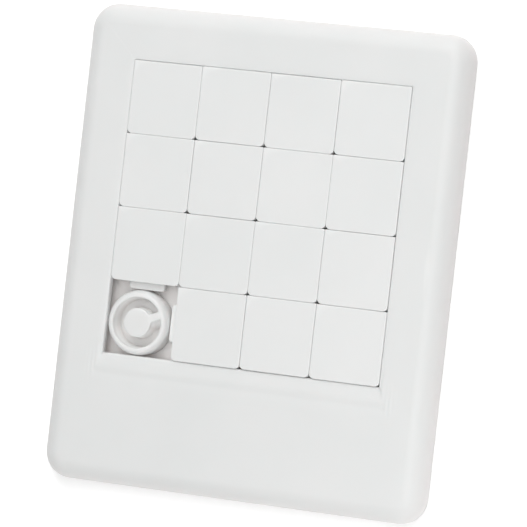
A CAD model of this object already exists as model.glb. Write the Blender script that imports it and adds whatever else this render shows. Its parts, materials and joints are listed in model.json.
"""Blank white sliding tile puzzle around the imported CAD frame, in metres and in the frame's axes."""

import json
import math

import bmesh
import bpy
from mathutils import Matrix, Vector, geometry, noise


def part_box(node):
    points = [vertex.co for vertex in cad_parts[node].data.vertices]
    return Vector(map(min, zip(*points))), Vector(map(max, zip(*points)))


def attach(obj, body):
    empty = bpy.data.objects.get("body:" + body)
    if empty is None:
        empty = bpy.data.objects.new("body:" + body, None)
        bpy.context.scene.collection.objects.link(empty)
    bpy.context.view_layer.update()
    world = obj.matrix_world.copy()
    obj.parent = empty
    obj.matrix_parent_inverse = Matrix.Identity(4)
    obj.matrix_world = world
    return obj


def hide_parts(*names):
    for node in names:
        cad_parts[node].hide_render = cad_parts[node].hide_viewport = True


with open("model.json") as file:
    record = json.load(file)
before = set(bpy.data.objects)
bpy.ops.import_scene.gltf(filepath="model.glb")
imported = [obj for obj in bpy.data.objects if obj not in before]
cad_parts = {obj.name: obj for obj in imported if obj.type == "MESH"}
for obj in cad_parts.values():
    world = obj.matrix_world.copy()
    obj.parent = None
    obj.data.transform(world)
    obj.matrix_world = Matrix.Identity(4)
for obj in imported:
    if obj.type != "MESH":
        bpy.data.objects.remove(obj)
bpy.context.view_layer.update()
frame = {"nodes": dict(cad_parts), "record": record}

MM = 0.001

# ---------------------------------------------------------------- driving dimensions
# Sizes that the frame's boxes can't give, as part.scad has them
TONGUE_REACH = 1.2 * MM
TONGUE_W = 6.2 * MM
TONGUE_T = 0.9 * MM
TONGUE_DROP = 1.3 * MM
TONGUE_TIP_R = 0.5 * MM
TONGUE_CLEAR = 0.1 * MM
TILE_GAP = 0.06 * MM
TILE_FOOT_CORNER_R = 0.8 * MM
TILE_TOP_CORNER_R = 0.2 * MM
TILE_EDGE_R = 0.1 * MM
TRAY_CORNER_R = 4.4 * MM
TRAY_EDGE_R = 3.2 * MM
RIM_W = 9 * MM
WALL_T = 1.5 * MM
ROOF_T = 1.4 * MM
RIB_T = 1.2 * MM
FOOT_RIBS = 3
RING_W = 1.1 * MM
DISC_R = 2.35 * MM
SPOKE_W = 1.15 * MM
SPOKE_RAMP = 1.2 * MM
SPOKE_ANGLE = math.radians(23)
WEB_T = 0.6 * MM
RING_DRAFT = 0.35 * MM
DISC_DRAFT = 0.15 * MM
RING_EDGE_R = 0.8 * MM
PLUG_FLAT_IN = 0.45 * MM
PLUG_FLAT_RISE = 0.6 * MM
WELL_WALL = 1.2 * MM
HOLLOW_CORNER_R = 2 * MM
HOLLOW_EDGE_R = 1 * MM

# Small moulded roundings, which only the visible model has. A drop is how far down a rounding goes, where
# that is more or less than how far across it goes.
TILE_SWELL = 0.015 * MM
TILE_FOOT_R = 0.08 * MM
LEAST_CORNER_R = 0.1 * MM
TRAY_FOOT_R = 0.15 * MM
WELL_CORNER_R = 0.1 * MM
LIP_EDGE_R = 0.22 * MM
LIP_EDGE_DROP = 0.3 * MM
TONGUE_EDGE_R = 0.2 * MM
PLUG_FOOT_R = 0.1 * MM
RING_EDGE_DROP = 1.3 * MM
GROOVE_EDGE_R = 0.12 * MM
GROOVE_FLOOR_R = 0.2 * MM
GROOVE_END_R = 0.24 * MM
SPOKE_UPPER_R = 0.45 * MM
SPOKE_LOWER_R = 0.9 * MM

# The face rolls off softly into the well. Below the well's foot it does so more, and a sink line follows.
ROLL_CURVE = 1.6
ROLL_W = 1.0 * MM
ROLL_DEPTH = 0.07 * MM
FOOT_ROLL_W = 2.4 * MM
FOOT_ROLL_DEPTH = 0.42 * MM
SINK_AWAY = 3.3 * MM
SINK_W = 0.55 * MM
SINK_DEPTH = 0.11 * MM

# Slow unevenness of the tray's face, which fades out at the well, the hollow of a tile's top and the
# wobble in it
DRIFT = 0.012 * MM
DRIFT_SPAN = 22 * MM
DRIFT_FADE = 0.6 * MM
DISH = 0.010 * MM
WOBBLE = 0.002 * MM
WOBBLE_SPAN = 8 * MM

# How far cutting blocks reach past the surface that they open, and joined blocks into what they join
CUT_PAST = 1 * MM
OVERLAP = 0.5 * MM
TONGUE_ROOT = 0.6 * MM

# Sizes and places worked out from the frame
TRAY_LOW, TRAY_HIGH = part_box("tray")
FACE_Z = TRAY_HIGH.z
FLOOR_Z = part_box("tile_r1_c1")[0].z
WELL_LEFT = TRAY_LOW.x + RIM_W
WELL_RIGHT = TRAY_HIGH.x - RIM_W
WELL_TOP = TRAY_HIGH.y - RIM_W
WELL_W = WELL_RIGHT - WELL_LEFT
WELL_FOOT = WELL_TOP - WELL_W
PITCH = WELL_W / 4
TONGUE_TOP = FACE_Z - TONGUE_DROP
TONGUE_FOOT = TONGUE_TOP - TONGUE_T
GROOVE_TOP = TONGUE_TOP + TONGUE_CLEAR
GROOVE_FOOT = TONGUE_FOOT - TONGUE_CLEAR
TONGUE_PAST = TONGUE_REACH - TILE_GAP / 2
GROOVE_DEEP = TONGUE_PAST + 2 * TONGUE_CLEAR
TILES = sorted(name for name in frame["nodes"] if name.startswith("tile_"))
BODY_OF = {node: body for body, nodes in frame["record"]["behaviour"]["bodies"].items() for node in nodes}


# ---------------------------------------------------------------- mesh building
def rounded_rect(low, high, radius, per_corner, per_side, foot_radius=None):
    """Points round a rectangle with round corners, anticlockwise from its lower right corner.

    foot_radius is for the two lower corners, where they differ from the upper two.
    """
    foot = radius if foot_radius is None else foot_radius
    centres = [
        (high[0] - radius, high[1] - radius, radius),
        (low[0] + radius, high[1] - radius, radius),
        (low[0] + foot, low[1] + foot, foot),
        (high[0] - foot, low[1] + foot, foot),
    ]
    corners = []
    for quarter, (x, y, r) in enumerate(centres):
        turns = [(quarter + n / per_corner) * math.pi / 2 for n in range(per_corner + 1)]
        corners.append([(x + r * math.cos(t), y + r * math.sin(t)) for t in turns])
    points = []
    for quarter in range(4):
        start = Vector(corners[quarter - 1][-1])
        end = Vector(corners[quarter][0])
        points += [tuple(start.lerp(end, n / (per_side + 1))) for n in range(1, per_side + 1)]
        points += corners[quarter]
    return points


def circle(radius, count):
    """Points round a circle about the origin."""
    turns = [math.tau * n / count for n in range(count)]
    return [(radius * math.cos(t), radius * math.sin(t)) for t in turns]


def blended(a, b, share):
    """The outline that lies share of the way from outline a to outline b."""
    return [tuple(Vector(p).lerp(Vector(q), share)) for p, q in zip(a, b)]


def inside(point, outline):
    """Is the point inside the outline?"""
    x, y = point
    hit = False
    for (x1, y1), (x2, y2) in zip(outline, outline[1:] + outline[:1]):
        if (y1 > y) != (y2 > y) and x < (x2 - x1) * (y - y1) / (y2 - y1) + x1:
            hit = not hit
    return hit


# Output type of delaunay_2d_cdt: only the triangles inside the outline
INSIDE_ONLY = 1
# Points closer than this are one point, in a plate and in a finished surface
PLATE_SNAP = 1e-9
SURFACE_WELD = 1e-7


class Skin:
    """A closed surface made of rings of points, each joined to the one before."""

    def __init__(self):
        self.mesh = bmesh.new()
        self.last = None

    def ring(self, outline, height, join=True):
        """Adds a ring of points. height is a number or a function of x and y."""
        rise = height if callable(height) else lambda x, y: height
        verts = [self.mesh.verts.new((x, y, rise(x, y))) for x, y in outline]
        if join and self.last:
            for n, v in enumerate(verts):
                self.mesh.faces.new((self.last[n - 1], self.last[n], v, verts[n - 1]))
        self.last = verts
        return verts

    def fan(self, verts, height):
        """Closes a ring with triangles that meet at its middle."""
        middle = sum((v.co for v in verts), Vector()) / len(verts)
        tip = self.mesh.verts.new((middle.x, middle.y, height))
        for n, v in enumerate(verts):
            self.mesh.faces.new((verts[n - 1], v, tip))

    def plate(self, outer, hole=None):
        """Fills a flat outline, less a hole, with triangles between the points that are there."""
        rings = [outer] + ([hole] if hole else [])
        verts = [v for ring in rings for v in ring]
        flat = [v.co.xy.copy() for v in verts]
        loops = []
        first = 0
        for ring in rings:
            loops.append([first + n for n in range(len(ring))])
            first += len(ring)
        edges = [(loop[n - 1], loop[n]) for loop in loops for n in range(len(loop))]
        gap = [tuple(v.co.xy) for v in hole] if hole else None
        made = geometry.delaunay_2d_cdt(flat, edges, [], INSIDE_ONLY, PLATE_SNAP)
        for face in made[2]:
            centre = sum((made[0][n] for n in face), Vector((0, 0))) / len(face)
            if not (gap and inside(centre, gap)):
                self.mesh.faces.new([verts[made[3][n][0]] for n in face])

    def finished(self, name):
        """The surface as an object, with its faces turned outwards."""
        bmesh.ops.remove_doubles(self.mesh, verts=self.mesh.verts, dist=SURFACE_WELD)
        bmesh.ops.recalc_face_normals(self.mesh, faces=self.mesh.faces)
        data = bpy.data.meshes.new(name)
        self.mesh.to_mesh(data)
        self.mesh.free()
        obj = bpy.data.objects.new(name, data)
        bpy.context.scene.collection.objects.link(obj)
        return obj


def box(low, high):
    """A plain block, for cutting and joining."""
    skin = Skin()
    outline = [(low[0], low[1]), (high[0], low[1]), (high[0], high[1]), (low[0], high[1])]
    foot = skin.ring(outline, low[2])
    top = skin.ring(outline, high[2])
    skin.mesh.faces.new(foot)
    skin.mesh.faces.new(top)
    return skin.finished("block")


def combine(obj, others, operation):
    """Cuts the other solids from obj, or joins them to it, and removes them."""
    for other in others:
        step = obj.modifiers.new("combine", "BOOLEAN")
        step.operation = operation
        step.solver = "EXACT"
        step.object = other
    graph = bpy.context.evaluated_depsgraph_get()
    made = bpy.data.meshes.new_from_object(obj.evaluated_get(graph))
    obj.modifiers.clear()
    obj.data = made
    for other in others:
        bpy.data.objects.remove(other)


def shade(obj, sharp_angle=40):
    """Smooth shading that keeps the real edges, with normals led by the larger faces."""
    work = bmesh.new()
    work.from_mesh(obj.data)
    for face in work.faces:
        face.smooth = True
    for edge in work.edges:
        if len(edge.link_faces) == 2:
            edge.smooth = edge.calc_face_angle(0) < math.radians(sharp_angle)
    work.to_mesh(obj.data)
    work.free()
    step = obj.modifiers.new("normals", "WEIGHTED_NORMAL")
    step.keep_sharp = True


def quarter_round(steps):
    """(how far in, how far down) along a unit round-over, from its foot to its top."""
    turns = [math.pi / 2 * n / steps for n in range(steps + 1)]
    return [(1 - math.cos(t), 1 - math.sin(t)) for t in turns]


# ---------------------------------------------------------------- materials
def plastic(name, tint, tone, wall, recess, gloss, grain, wave, depth, low_depth):
    """Moulded white plastic: slight colour drift, uneven gloss, a fine grain and soft waves in the surface.

    The face's colour drifts between tint and tone. Below the face, where nothing rubs, it turns to
    wall, and to recess in the dust at the floor. depth is how far light travels in the plastic near
    the face, and low_depth how far near the thin floor.
    """
    mat = bpy.data.materials.new(name)
    mat.use_nodes = True
    tree = mat.node_tree
    nodes, links = tree.nodes, tree.links
    nodes.clear()
    out = nodes.new("ShaderNodeOutputMaterial")
    surface = nodes.new("ShaderNodeBsdfPrincipled")
    surface.inputs["IOR"].default_value = 1.5
    surface.inputs["Subsurface Weight"].default_value = 1.0
    surface.inputs["Subsurface Radius"].default_value = (1.0, 0.94, 0.93)
    place = nodes.new("ShaderNodeTexCoord")

    def noise_at(feature, detail=2.0):
        """Noise whose blotches are about feature metres across."""
        made = nodes.new("ShaderNodeTexNoise")
        made.inputs["Scale"].default_value = 1 / feature
        made.inputs["Detail"].default_value = detail
        links.new(place.outputs["Object"], made.inputs["Vector"])
        return made.outputs["Fac"]

    def ramp(value, stops):
        """A colour ramp between two stops of (position, colour)."""
        made = nodes.new("ShaderNodeValToRGB")
        for element, (position, colour) in zip(made.color_ramp.elements, stops):
            element.position = position
            element.color = (*colour, 1)
        links.new(value, made.inputs["Fac"])
        return made.outputs["Color"]

    # Colour of the face, a little lighter on worn edges
    drift = ramp(noise_at(14 * MM), [(0.3, tint), (0.7, tone)])
    wear = nodes.new("ShaderNodeNewGeometry")
    rim = ramp(wear.outputs["Pointiness"], [(0.54, (0, 0, 0)), (0.66, (1, 1, 1))])
    worn = nodes.new("ShaderNodeMix")
    worn.data_type = "RGBA"
    links.new(rim, worn.inputs["Factor"])
    links.new(drift, worn.inputs["A"])
    worn.inputs["B"].default_value = (*[min(1, c * 1.03) for c in tone], 1)

    # Colour below the face. low runs from 0 at the face to 1 at the floor.
    height = nodes.new("ShaderNodeSeparateXYZ")
    links.new(place.outputs["Object"], height.inputs["Vector"])
    low = nodes.new("ShaderNodeMapRange")
    low.inputs["From Min"].default_value = FLOOR_Z + WEB_T
    low.inputs["From Max"].default_value = FACE_Z
    low.inputs["To Min"].default_value = 1
    low.inputs["To Max"].default_value = 0
    links.new(height.outputs["Z"], low.inputs["Value"])
    aged = nodes.new("ShaderNodeMix")
    aged.data_type = "RGBA"
    links.new(ramp(low.outputs["Result"], [(0.1, (0, 0, 0)), (0.4, (1, 1, 1))]), aged.inputs["Factor"])
    links.new(worn.outputs["Result"], aged.inputs["A"])
    links.new(ramp(low.outputs["Result"], [(0.4, wall), (1, recess)]), aged.inputs["B"])
    links.new(aged.outputs["Result"], surface.inputs["Base Color"])

    # Uneven gloss
    rough = nodes.new("ShaderNodeMapRange")
    rough.inputs["To Min"].default_value = gloss[0]
    rough.inputs["To Max"].default_value = gloss[1]
    links.new(noise_at(3 * MM, 4), rough.inputs["Value"])
    links.new(rough.outputs["Result"], surface.inputs["Roughness"])

    # How far light travels below the surface
    travel = nodes.new("ShaderNodeMapRange")
    travel.inputs["To Min"].default_value = depth
    travel.inputs["To Max"].default_value = low_depth
    links.new(low.outputs["Result"], travel.inputs["Value"])
    links.new(travel.outputs["Result"], surface.inputs["Subsurface Scale"])

    # Fine grain on top of soft waves
    fine = nodes.new("ShaderNodeBump")
    fine.inputs["Strength"].default_value = grain
    fine.inputs["Distance"].default_value = 0.01 * MM
    links.new(noise_at(0.25 * MM, 3), fine.inputs["Height"])
    soft = nodes.new("ShaderNodeBump")
    soft.inputs["Strength"].default_value = wave
    soft.inputs["Distance"].default_value = 0.05 * MM
    links.new(noise_at(9 * MM, 1), soft.inputs["Height"])
    links.new(soft.outputs["Normal"], fine.inputs["Normal"])
    links.new(fine.outputs["Normal"], surface.inputs["Normal"])
    links.new(surface.outputs["BSDF"], out.inputs["Surface"])
    return mat


TRAY_PLASTIC = plastic(
    "tray_plastic",
    tint=(0.775, 0.785, 0.78),
    tone=(0.795, 0.80, 0.795),
    wall=(0.79, 0.79, 0.785),
    recess=(0.79, 0.77, 0.76),
    gloss=(0.4, 0.5),
    grain=0.25,
    wave=0.25,
    depth=0.6 * MM,
    low_depth=2 * MM,
)
TILE_PLASTIC = plastic(
    "tile_plastic",
    tint=(0.79, 0.80, 0.795),
    tone=(0.81, 0.815, 0.81),
    wall=(0.80, 0.805, 0.80),
    recess=(0.79, 0.79, 0.78),
    gloss=(0.3, 0.42),
    grain=0.25,
    wave=0.2,
    depth=0.2 * MM,
    low_depth=0.2 * MM,
)
PLUG_PLASTIC = plastic(
    "plug_plastic",
    tint=(0.785, 0.79, 0.785),
    tone=(0.805, 0.81, 0.80),
    wall=(0.95, 0.95, 0.945),
    recess=(0.80, 0.775, 0.76),
    gloss=(0.25, 0.35),
    grain=0.2,
    wave=0.2,
    depth=1.6 * MM,
    low_depth=1.6 * MM,
)


def finish_piece(obj, name, material, slot, body, *nodes):
    """Names a piece, gives it its material and hands it to the frame."""
    obj.name = obj.data.name = name
    obj.data.materials.clear()
    obj.data.materials.append(material)
    shade(obj)
    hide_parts(*nodes)
    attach(obj, body)


# ---------------------------------------------------------------- tray
def tray_relief(x, y):
    """The height of the tray's face, which is never quite flat."""
    out_x = max(WELL_LEFT - x, x - WELL_RIGHT, 0)
    out_y = max(WELL_FOOT - y, y - WELL_TOP, 0)
    away = math.hypot(out_x, out_y)
    # 1 straight below the well's foot, 0 beside the well or above it
    below = (out_y / away) ** 2 if away and y < WELL_FOOT else 0
    roll_w = ROLL_W + (FOOT_ROLL_W - ROLL_W) * below
    roll_depth = ROLL_DEPTH + (FOOT_ROLL_DEPTH - ROLL_DEPTH) * below
    roll = roll_depth * max(0, 1 - away / roll_w) ** ROLL_CURVE
    sink = SINK_DEPTH * below * math.exp(-(((away - SINK_AWAY) / SINK_W) ** 2))
    drift = DRIFT * noise.noise(Vector((x, y, 0)) / DRIFT_SPAN)
    return FACE_Z - roll - sink + min(1, away / DRIFT_FADE) * drift


def underside_hollows():
    """The hollows in the underside, each a block with round corners."""
    outer_x = TRAY_HIGH.x - WALL_T
    outer_y = TRAY_HIGH.y - WALL_T
    wall = GROOVE_DEEP + WELL_WALL
    inner_x = WELL_RIGHT + wall
    top_y = WELL_TOP + wall
    foot_y = WELL_FOOT - wall
    bay = (2 * outer_x - FOOT_RIBS * RIB_T) / (FOOT_RIBS + 1)
    spans = [
        ((-outer_x, foot_y + RIB_T), (-inner_x, top_y - RIB_T)),
        ((inner_x, foot_y + RIB_T), (outer_x, top_y - RIB_T)),
        ((-outer_x, top_y), (outer_x, outer_y)),
    ]
    for n in range(FOOT_RIBS + 1):
        start = -outer_x + n * (bay + RIB_T)
        spans.append(((start, -outer_y), (start + bay, foot_y)))
    made = []
    roof = FACE_Z - ROOF_T
    for low, high in spans:
        skin = Skin()
        foot = skin.ring(rounded_rect(low, high, HOLLOW_CORNER_R, 8, 1), -CUT_PAST)
        for across, down in quarter_round(5):
            inset = HOLLOW_EDGE_R * across
            start = (low[0] + inset, low[1] + inset)
            end = (high[0] - inset, high[1] - inset)
            outline = rounded_rect(start, end, HOLLOW_CORNER_R - inset, 8, 1)
            skin.ring(outline, roof - HOLLOW_EDGE_R * down)
        skin.plate(skin.last)
        skin.plate(foot)
        made.append(skin.finished("hollow"))
    return made


def build_tray():
    """The moulded shell with its well, then the undercuts, the hollows below and the two ribs."""
    per_corner, per_side = 14, 22

    def outline(inset):
        """The tray's outline, moved in by inset."""
        low = TRAY_LOW.xy + Vector((inset, inset))
        high = TRAY_HIGH.xy - Vector((inset, inset))
        return rounded_rect(low, high, TRAY_CORNER_R - inset, per_corner, per_side)

    def well(grow):
        """The well's outline, moved out by grow."""
        low = (WELL_LEFT - grow, WELL_FOOT - grow)
        high = (WELL_RIGHT + grow, WELL_TOP + grow)
        return rounded_rect(low, high, WELL_CORNER_R + grow, per_corner, per_side)

    skin = Skin()
    foot = skin.ring(outline(TRAY_FOOT_R), 0)
    skin.ring(outline(0), TRAY_FOOT_R)
    for across, down in quarter_round(14):
        skin.ring(outline(TRAY_EDGE_R * across), FACE_Z - TRAY_EDGE_R * down)
    # Rings across the face, closer together towards the well
    edge = outline(TRAY_EDGE_R)
    lip = well(LIP_EDGE_R)
    steps = 44
    crowding = 1.7
    for n in range(1, steps + 1):
        skin.ring(blended(edge, lip, 1 - (1 - n / steps) ** crowding), tray_relief)
    for across, down in reversed(quarter_round(5)[:-1]):
        drop = LIP_EDGE_DROP * down
        skin.ring(well(LIP_EDGE_R * across), lambda x, y: tray_relief(x, y) - drop)
    skin.ring(well(0), FLOOR_Z)
    skin.plate(skin.last)
    skin.mesh.faces.new(foot)
    tray = skin.finished("tray")

    left_cut = box(
        (WELL_LEFT - GROOVE_DEEP, WELL_FOOT, FLOOR_Z),
        (WELL_LEFT + OVERLAP, WELL_TOP, GROOVE_TOP),
    )
    foot_cut = box(
        (WELL_LEFT, WELL_FOOT - GROOVE_DEEP, FLOOR_Z),
        (WELL_RIGHT, WELL_FOOT + OVERLAP, GROOVE_TOP),
    )
    combine(tray, [left_cut, foot_cut, *underside_hollows()], "DIFFERENCE")
    right_rib = box(
        (WELL_RIGHT - TONGUE_PAST, WELL_FOOT, TONGUE_FOOT),
        (WELL_RIGHT + OVERLAP, WELL_TOP, TONGUE_TOP),
    )
    top_rib = box(
        (WELL_LEFT, WELL_TOP - TONGUE_PAST, TONGUE_FOOT),
        (WELL_RIGHT, WELL_TOP + OVERLAP, TONGUE_TOP),
    )
    combine(tray, [right_rib, top_rib], "UNION")
    finish_piece(tray, "tray_shell", TRAY_PLASTIC, "tray_plastic", BODY_OF["tray"], "tray")


# ---------------------------------------------------------------- tiles
def tongue(side_y, middle_x):
    """A tongue that stands out towards -Y from side_y."""
    skin = Skin()
    upper = []
    for across, down in quarter_round(3):
        upper.append((TONGUE_EDGE_R * across, TONGUE_TOP - TONGUE_EDGE_R * down))
    lower = [(inset, TONGUE_FOOT + TONGUE_TOP - z) for inset, z in reversed(upper)]
    rings = []
    for inset, z in lower + upper:
        low = (middle_x - TONGUE_W / 2 + inset, side_y - TONGUE_REACH + inset)
        high = (middle_x + TONGUE_W / 2 - inset, side_y + TONGUE_ROOT)
        rings.append(skin.ring(rounded_rect(low, high, TONGUE_TIP_R - inset, 6, 1), z))
    skin.plate(rings[0])
    skin.plate(rings[-1])
    return skin.finished("tongue")


def build_tile(name):
    """A square tile with grooves along its right and top sides and tongues on the other two."""
    low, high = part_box(name)
    width = high.x - low.x - TONGUE_REACH + 2 * TILE_SWELL
    high = high + Vector((TILE_SWELL, TILE_SWELL, 0))
    left, foot = high.x - width, high.y - width
    middle = Vector((high.x - width / 2, high.y - width / 2))

    def outline(inset):
        """The tile's outline, moved in by inset."""
        top_r = max(TILE_TOP_CORNER_R - inset, LEAST_CORNER_R)
        foot_r = max(TILE_FOOT_CORNER_R - inset, LEAST_CORNER_R)
        start = (left + inset, foot + inset)
        end = (high.x - inset, high.y - inset)
        return rounded_rect(start, end, top_r, 6, 6, foot_radius=foot_r)

    def relief(x, y):
        """The top's height: the middle of a moulded tile sinks a little."""
        from_middle = (Vector((x, y)) - middle).length / (width / 2)
        dish = DISH * max(0, 1 - from_middle**2)
        wobble = WOBBLE * noise.noise(Vector((x, y, 3)) / WOBBLE_SPAN) * max(0, 1 - from_middle)
        return FACE_Z - dish + wobble

    skin = Skin()
    base = skin.ring(outline(TILE_FOOT_R), FLOOR_Z)
    skin.ring(outline(0), FLOOR_Z + TILE_FOOT_R)
    for across, down in quarter_round(4):
        skin.ring(outline(TILE_EDGE_R * across), FACE_Z - TILE_EDGE_R * down)
    for share in (0.04, 0.12, 0.25, 0.4, 0.55, 0.7, 0.85):
        inset = TILE_EDGE_R + share * (width / 2 - TILE_EDGE_R)
        skin.ring(outline(inset), relief)
    skin.fan(skin.last, relief(middle.x, middle.y))
    skin.plate(base)
    tile = skin.finished(name)

    deep = GROOVE_DEEP - TILE_GAP / 2
    cut_end = (high.x + CUT_PAST, high.y + CUT_PAST, GROOVE_TOP)
    right_cut = box((high.x - deep, foot - CUT_PAST, GROOVE_FOOT), cut_end)
    top_cut = box((left - CUT_PAST, high.y - deep, GROOVE_FOOT), cut_end)
    combine(tile, [right_cut, top_cut], "DIFFERENCE")
    foot_tongue = tongue(foot, middle.x)
    left_tongue = tongue(foot, middle.x)
    turn = Matrix.Translation(middle.to_3d()) @ Matrix.Rotation(-math.pi / 2, 4, "Z")
    left_tongue.data.transform(turn @ Matrix.Translation(-middle.to_3d()))
    combine(tile, [foot_tongue, left_tongue], "UNION")
    finish_piece(tile, name.replace("tile_", "square_"), TILE_PLASTIC, "tile_plastic", BODY_OF[name], name)


# ---------------------------------------------------------------- plug
def groove_outline(ring_r, disc_r, upper, lower, grow):
    """The C-shaped groove between disc and ring, grown by grow all round. The spoke closes it on one side.

    upper and lower are the distances of the spoke's flanks from its middle line. The spoke runs out
    along +X, then everything is turned to its real direction.
    """

    def fillet(flank, r, wall_r):
        """Centre and turn of the fillet between a flank of the spoke and a wall about the origin."""
        y = flank + r
        x = math.sqrt(wall_r**2 - y**2)
        return x, y, math.atan2(y, x)

    def arc(x, y, radius, start, end, count):
        """Points along an arc about x and y."""
        turns = [start + (end - start) * n / count for n in range(count + 1)]
        return [(x + radius * math.cos(t), y + radius * math.sin(t)) for t in turns]

    quarter = math.pi / 2
    x, y, start_turn = fillet(upper, GROOVE_END_R, ring_r - GROOVE_END_R)
    points = arc(x, y, GROOVE_END_R + grow, -quarter, start_turn, 8)
    x, y, end_turn = fillet(lower, GROOVE_END_R, ring_r - GROOVE_END_R)
    points += arc(0, 0, ring_r + grow, start_turn, math.tau - end_turn, 88)[1:-1]
    points += arc(x, -y, GROOVE_END_R + grow, -end_turn, quarter, 8)
    x, y, lower_turn = fillet(lower, SPOKE_LOWER_R, disc_r + SPOKE_LOWER_R)
    points += arc(x, -y, SPOKE_LOWER_R + grow, quarter, 2 * quarter - lower_turn, 8)
    x, y, upper_turn = fillet(upper, SPOKE_UPPER_R, disc_r + SPOKE_UPPER_R)
    points += arc(0, 0, disc_r - grow, -lower_turn, upper_turn - math.tau, 64)[1:-1]
    points += arc(x, y, SPOKE_UPPER_R + grow, 2 * quarter + upper_turn, 3 * quarter, 8)
    turn = Matrix.Rotation(SPOKE_ANGLE, 2)
    return [tuple(turn @ Vector(p)) for p in points]


def build_plug():
    """The round piece, made about the origin and moved to its place: its side, its rim, then its groove."""
    low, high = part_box("locking_plug")
    radius = (high.x - low.x) / 2
    ring_r = radius - RING_W
    side_foot = low.z + PLUG_FOOT_R
    flat_top = TONGUE_FOOT + PLUG_FLAT_RISE
    flat_steps = 8
    count = 120

    def side(r, z):
        """The plug's outline at a height below flat_top, where a sloped flat cuts its +X side."""
        limit = radius - PLUG_FLAT_IN * (flat_top - z) / (flat_top - low.z)
        return [(min(x, limit), y) for x, y in circle(r, count)]

    skin = Skin()
    base = skin.ring(side(radius - PLUG_FOOT_R, low.z), low.z)
    for n in range(flat_steps + 1):
        z = side_foot + (flat_top - side_foot) * n / flat_steps
        skin.ring(side(radius, z), z)
    for across, down in quarter_round(8):
        rim_r = radius - RING_EDGE_R * across
        skin.ring(circle(rim_r, count), high.z - RING_EDGE_DROP * down)
    rim = skin.last
    skin.plate(base)
    floor_z = low.z + WEB_T

    def groove(grow, height):
        """The groove's outline at a height, narrower by its draft the deeper it is."""
        share = min(1, (high.z - height) / (high.z - floor_z))
        outer_r = ring_r - RING_DRAFT * share
        inner_r = DISC_R + DISC_DRAFT * share
        upper = SPOKE_W / 2 + DISC_DRAFT * share
        lower = SPOKE_W / 2 + SPOKE_RAMP * share
        return groove_outline(outer_r, inner_r, upper, lower, grow)

    mouth = skin.ring(groove(GROOVE_EDGE_R, high.z), high.z, join=False)
    for across, down in reversed(quarter_round(4)[:-1]):
        z = high.z - GROOVE_EDGE_R * down
        skin.ring(groove(GROOVE_EDGE_R * across, z), z)
    for across, down in quarter_round(5):
        z = floor_z + GROOVE_FLOOR_R * down
        skin.ring(groove(-GROOVE_FLOOR_R * across, z), z)
    skin.plate(skin.last)
    skin.plate(rim, mouth)
    plug = skin.finished("locking_plug")
    middle = (low + high) / 2
    plug.data.transform(Matrix.Translation((middle.x, middle.y, 0)))
    finish_piece(plug, "plug_body", PLUG_PLASTIC, "plug_plastic", BODY_OF["locking_plug"], "locking_plug")


# ---------------------------------------------------------------- stage, light and camera
def build_stage():
    """A wide sheet of white paper under the puzzle. It glows faintly, so that it fades to white."""
    size = 1.5
    corners = [(-size, -size), (size, -size), (size, size), (-size, size)]
    skin = Skin()
    skin.mesh.faces.new(skin.ring(corners, 0))
    floor = skin.finished("floor")
    mat = bpy.data.materials.new("floor_paper")
    mat.use_nodes = True
    surface = mat.node_tree.nodes["Principled BSDF"]
    surface.inputs["Base Color"].default_value = (0.97, 0.97, 0.97, 1)
    surface.inputs["Roughness"].default_value = 0.9
    surface.inputs["Specular IOR Level"].default_value = 0.1
    surface.inputs["Emission Color"].default_value = (1, 1, 1, 1)
    surface.inputs["Emission Strength"].default_value = 0.15
    floor.data.materials.append(mat)


def area_light(name, place, aim, size, power):
    """A rectangular lamp at place, turned towards aim."""
    data = bpy.data.lights.new(name, "AREA")
    data.shape = "RECTANGLE"
    data.size, data.size_y = size
    data.energy = power
    light = bpy.data.objects.new(name, data)
    light.location = place
    light.rotation_euler = (Vector(aim) - Vector(place)).to_track_quat("-Z", "Y").to_euler()
    bpy.context.scene.collection.objects.link(light)


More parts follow.
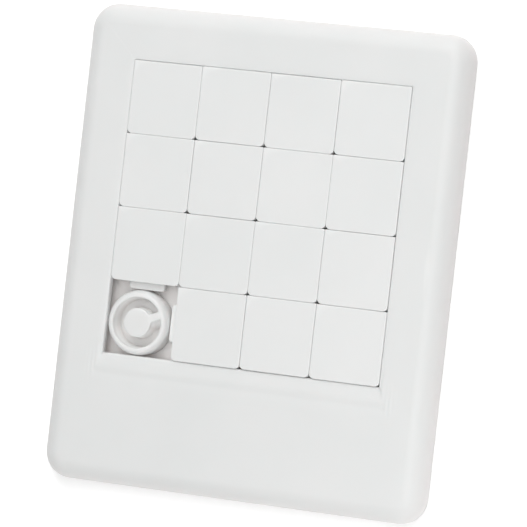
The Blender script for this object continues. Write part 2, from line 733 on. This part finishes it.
def build_light():
    """A softbox overhead, more of them round the sides and a small lamp near the lower right corner."""
    world = bpy.data.worlds.new("studio")
    bpy.context.scene.world = world
    world.use_nodes = True
    back = world.node_tree.nodes["Background"]
    back.inputs["Color"].default_value = (1, 1, 1, 1)
    back.inputs["Strength"].default_value = 0.04
    area_light("overhead", (0.05, 0, 0.8), (0, 0, 0), (0.7, 0.7), 3.04)
    away = 0.7
    tall, flat = (0.4, 0.4), (0.5, 0.2)
    # name, degrees clockwise from +Y, degrees above the floor, size, power
    softboxes = [
        ("top_high", 0, 50, tall, 2.36),
        ("top_low", 0, 14, flat, 0.65),
        ("right_high", 90, 58, tall, 0.3),
        ("foot_high", 180, 50, tall, 0.64),
        ("foot_low", 180, 14, flat, 0.8),
        ("left_high", 270, 50, tall, 0.12),
    ]
    for name, turn, rise, size, power in softboxes:
        across, up = math.radians(turn), math.radians(rise)
        place = (
            away * math.cos(up) * math.sin(across),
            away * math.cos(up) * math.cos(across),
            away * math.sin(up),
        )
        area_light(name, place, (0, 0, 0), size, power)
    area_light("corner", (0.11, -0.08, 0.04), (0.03, -0.035, 0), (0.06, 0.05), 0.022)


def build_camera():
    """A long lens, right of the face's normal and rolled, so that the puzzle leans to the right."""
    lens_mm, sensor_mm = 266.84, 36
    tilt_up = Matrix.Rotation(math.radians(-0.862), 4, "X")
    tilt_right = Matrix.Rotation(math.radians(20.67), 4, "Y")
    roll = Matrix.Rotation(math.radians(6.709), 4, "Z")
    stand = Matrix.Translation((0.112 * PITCH, -0.568 * PITCH, 52.425 * PITCH))
    grid_middle = Vector(((WELL_LEFT + WELL_RIGHT) / 2, (WELL_FOOT + WELL_TOP) / 2, FACE_Z))
    data = bpy.data.cameras.new("camera")
    data.lens = lens_mm
    data.sensor_width = sensor_mm
    data.clip_start = 0.01
    data.clip_end = 10
    camera = bpy.data.objects.new("camera", data)
    camera.matrix_world = Matrix.Translation(grid_middle) @ tilt_up @ tilt_right @ roll @ stand
    bpy.context.scene.collection.objects.link(camera)
    bpy.context.scene.camera = camera


build_camera()
build_light()
build_stage()
build_tray()
for tile_node in TILES:
    build_tile(tile_node)
build_plug()
bpy.context.scene.view_settings.view_transform = "Standard"
